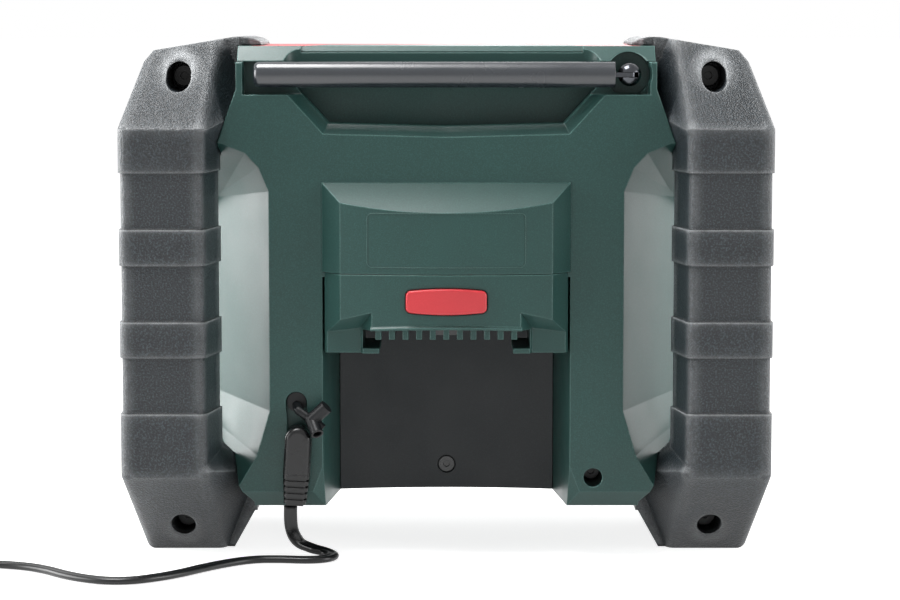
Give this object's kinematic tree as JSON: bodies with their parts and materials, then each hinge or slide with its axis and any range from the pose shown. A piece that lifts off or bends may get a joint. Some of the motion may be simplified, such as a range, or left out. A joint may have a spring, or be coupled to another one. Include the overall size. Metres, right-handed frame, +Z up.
{
  "type": "jobsite radio",
  "caption": "Rugged tabletop radio between two rubber bumper rings, with a folding rod antenna, a slide-on battery dock and a plugged-in supply lead on its back.",
  "frame": {"origin": "on the floor under the middle of the radio", "axes": "+Z up, +X towards the right bumper as seen from the front, front faces -Y, back faces +Y"},
  "size_m": [0.444, 0.2123, 0.235],
  "materials": {
    "green_plastic": "fine moulded grain",
    "front_plastic": "fine moulded grain",
    "black_rubber": "coarse moulded grain",
    "red_plastic": "satin",
    "red_trim": "satin",
    "black_plastic": "fine moulded grain",
    "gloss_black": "glossy",
    "steel": "plain",
    "dark_steel": "satin black",
    "chrome": "polished",
    "brass": "plain",
    "nickel": "nickel plated",
    "soft_black": "smooth",
    "lens": "clear",
    "display": "grey green",
    "board": "green lacquer",
    "parts_dark": "moulded cases",
    "heat_sink": "extruded",
    "cone": "pressed paper",
    "magnet": "plain",
    "knob": "satin"
  },
  "bodies": {
    "case": {"rear_cover": "green_plastic", "front_cover": "front_plastic", "case_seal": "soft_black", "top_trim": "red_trim", "right_bumper": "black_rubber", "left_bumper": "black_rubber", "bumper_screws": "dark_steel", "case_screws": "dark_steel", "dock_cover": "green_plastic", "dock_receiver": "green_plastic", "release_spring": "steel", "terminal_block": "black_plastic", "contact_blades": "nickel", "bay_plate": "black_plastic", "dc_jack": "black_plastic", "jack_cap": "soft_black", "control_panel": "black_plastic", "display_lens": "lens", "display_module": "display", "control_board": "board", "key_switches": "parts_dark", "encoders": "nickel", "main_board": "board", "board_parts": "parts_dark", "heat_sink": "heat_sink", "dc_plug": "gloss_black", "dc_plug_barrel": "nickel", "power_cord": "gloss_black", "cord_coil": "gloss_black", "cord_tail": "gloss_black", "adapter": "black_plastic", "adapter_prongs": "brass", "left_speaker_basket": "dark_steel", "left_speaker_cone": "cone", "left_speaker_surround": "soft_black", "left_speaker_magnet": "magnet", "left_speaker_grille": "dark_steel", "right_speaker_basket": "dark_steel", "right_speaker_cone": "cone", "right_speaker_surround": "soft_black", "right_speaker_magnet": "magnet", "right_speaker_grille": "dark_steel"},
    "antenna_swivel_base": {"antenna_base": "chrome", "antenna_pin": "steel", "antenna_nut": "steel"},
    "antenna_rod": {"antenna_tongue": "chrome", "antenna_sleeve": "soft_black"},
    "release_button": {"release_button": "red_plastic"},
    "battery_latch": {"battery_latch": "dark_steel"},
    "volume_knob": {"volume_knob": "knob"},
    "tuning_knob": {"tuning_knob": "knob"},
    "power_button": {"power_button": "red_plastic"},
    "source_button": {"source_button": "knob"},
    "preset_one_button": {"preset_one_button": "knob"},
    "preset_two_button": {"preset_two_button": "knob"},
    "preset_three_button": {"preset_three_button": "knob"}
  },
  "joints": [
    {"name": "antenna_swivel", "type": "hinge", "parent": "case", "child": "antenna_swivel_base", "pos_m": [-0.0818, 0.062, 0.2184], "axis": [0, -1, 0], "range_deg": [0, 90]},
    {"name": "antenna_tilt", "type": "hinge", "parent": "antenna_swivel_base", "child": "antenna_rod", "pos_m": [-0.0818, 0.062, 0.2184], "axis": [0, 0, 1], "range_deg": [0, 90]},
    {"name": "button_press", "type": "slide", "parent": "case", "child": "release_button", "axis": [0, -1, 0], "range_m": [0, 0.0025], "stiffness_N_per_m": 800, "springref_m": -0.001, "deforming": ["release_spring"]},
    {"name": "latch_slide", "type": "slide", "parent": "case", "child": "battery_latch", "axis": [0, 0, 1], "range_m": [0, 0.0025]},
    {"name": "volume_turn", "type": "hinge", "parent": "case", "child": "volume_knob", "pos_m": [-0.068, -0.073, 0.182], "axis": [0, 1, 0], "range_deg": [0, 290]},
    {"name": "tuning_turn", "type": "hinge", "parent": "case", "child": "tuning_knob", "pos_m": [0.068, -0.073, 0.182], "axis": [0, 1, 0], "continuous": true},
    {"name": "power_press", "type": "slide", "parent": "case", "child": "power_button", "axis": [0, 1, 0], "range_m": [0, 0.001], "stiffness_N_per_m": 500, "springref_m": -0.0005},
    {"name": "source_press", "type": "slide", "parent": "case", "child": "source_button", "axis": [0, 1, 0], "range_m": [0, 0.001], "stiffness_N_per_m": 500, "springref_m": -0.0005},
    {"name": "preset_one_press", "type": "slide", "parent": "case", "child": "preset_one_button", "axis": [0, 1, 0], "range_m": [0, 0.001], "stiffness_N_per_m": 500, "springref_m": -0.0005},
    {"name": "preset_two_press", "type": "slide", "parent": "case", "child": "preset_two_button", "axis": [0, 1, 0], "range_m": [0, 0.001], "stiffness_N_per_m": 500, "springref_m": -0.0005},
    {"name": "preset_three_press", "type": "slide", "parent": "case", "child": "preset_three_button", "axis": [0, 1, 0], "range_m": [0, 0.001], "stiffness_N_per_m": 500, "springref_m": -0.0005}
  ],
  "couplings": [
    {"joint": "latch_slide", "follows": "button_press", "ratio": 1}
  ]
}
